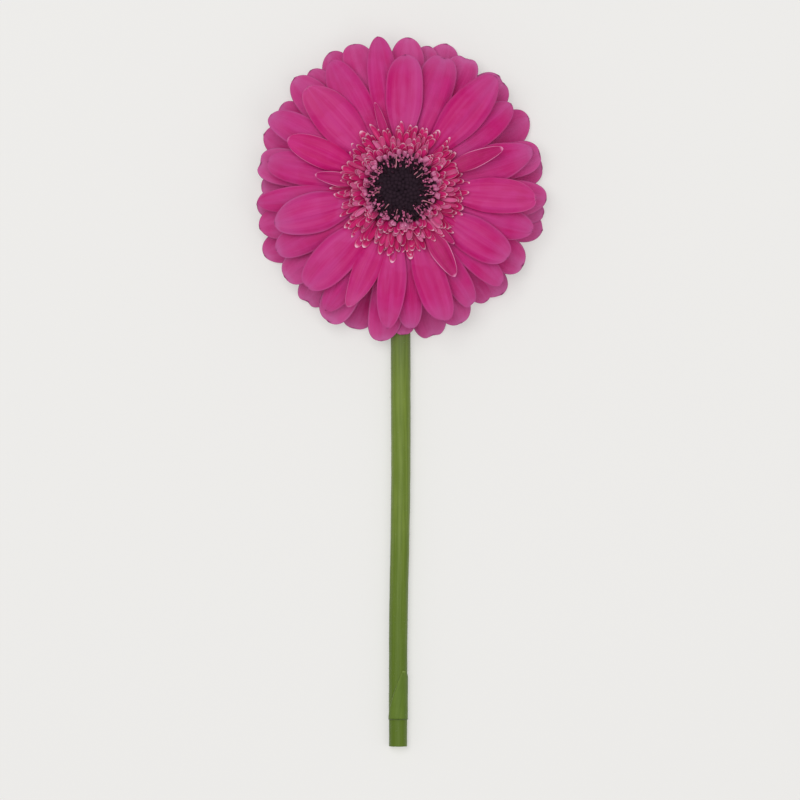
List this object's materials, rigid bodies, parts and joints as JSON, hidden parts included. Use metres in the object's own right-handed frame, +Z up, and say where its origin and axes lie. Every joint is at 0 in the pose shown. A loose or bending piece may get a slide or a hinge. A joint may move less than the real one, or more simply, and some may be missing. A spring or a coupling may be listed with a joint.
{
  "type": "cut gerbera",
  "caption": "Single cut gerbera stem lying face up, with whorls of strap-shaped ray florets round a dark middle on a leafless stem.",
  "frame": {"origin": "on the surface that the flower lies on, under the middle of its overall box", "axes": "+Z up, the way the flower's face looks; +Y along the stem, from the cut end to the head; +X to the right seen from the cut end"},
  "size_m": [0.0966, 0.2374, 0.0307],
  "materials": {
    "ray_petal": "soft satin, finely ribbed",
    "rim_petal": "soft satin, finely ribbed",
    "star_petal": "soft satin, with pale rims",
    "disc": "velvety matt",
    "bract": "matt, downy",
    "receptacle": "matt",
    "stem": "satin, ribbed and downy"
  },
  "bodies": {
    "root": {"bracts_inner": "bract", "bracts_outer": "bract", "disc_florets": "disc", "ray_floret_back_01": "rim_petal", "ray_floret_back_02": "rim_petal", "ray_floret_back_03": "rim_petal", "ray_floret_back_04": "rim_petal", "ray_floret_back_05": "rim_petal", "ray_floret_back_06": "rim_petal", "ray_floret_back_07": "rim_petal", "ray_floret_back_08": "rim_petal", "ray_floret_back_09": "rim_petal", "ray_floret_back_10": "rim_petal", "ray_floret_back_11": "rim_petal", "ray_floret_back_12": "rim_petal", "ray_floret_back_13": "rim_petal", "ray_floret_front_01": "ray_petal", "ray_floret_front_02": "ray_petal", "ray_floret_front_03": "ray_petal", "ray_floret_front_04": "ray_petal", "ray_floret_front_05": "ray_petal", "ray_floret_front_06": "ray_petal", "ray_floret_front_07": "ray_petal", "ray_floret_front_08": "ray_petal", "ray_floret_front_09": "ray_petal", "ray_floret_front_10": "ray_petal", "ray_floret_front_11": "ray_petal", "ray_floret_second_01": "ray_petal", "ray_floret_second_02": "ray_petal", "ray_floret_second_03": "ray_petal", "ray_floret_second_04": "ray_petal", "ray_floret_second_05": "ray_petal", "ray_floret_second_06": "ray_petal", "ray_floret_second_07": "ray_petal", "ray_floret_second_08": "ray_petal", "ray_floret_second_09": "ray_petal", "ray_floret_second_10": "ray_petal", "ray_floret_second_11": "ray_petal", "ray_floret_second_12": "ray_petal", "ray_floret_second_13": "ray_petal", "ray_floret_second_14": "ray_petal", "ray_floret_third_01": "rim_petal", "ray_floret_third_02": "rim_petal", "ray_floret_third_03": "rim_petal", "ray_floret_third_04": "rim_petal", "ray_floret_third_05": "rim_petal", "ray_floret_third_06": "rim_petal", "ray_floret_third_07": "rim_petal", "ray_floret_third_08": "rim_petal", "ray_floret_third_09": "rim_petal", "ray_floret_third_10": "rim_petal", "ray_floret_third_11": "rim_petal", "ray_floret_third_12": "rim_petal", "ray_floret_third_13": "rim_petal", "ray_floret_third_14": "rim_petal", "receptacle": "receptacle", "stem": "stem", "stem_bract": "bract", "trans_florets_inner": "star_petal", "trans_florets_outer": "star_petal"}
  },
  "joints": []
}
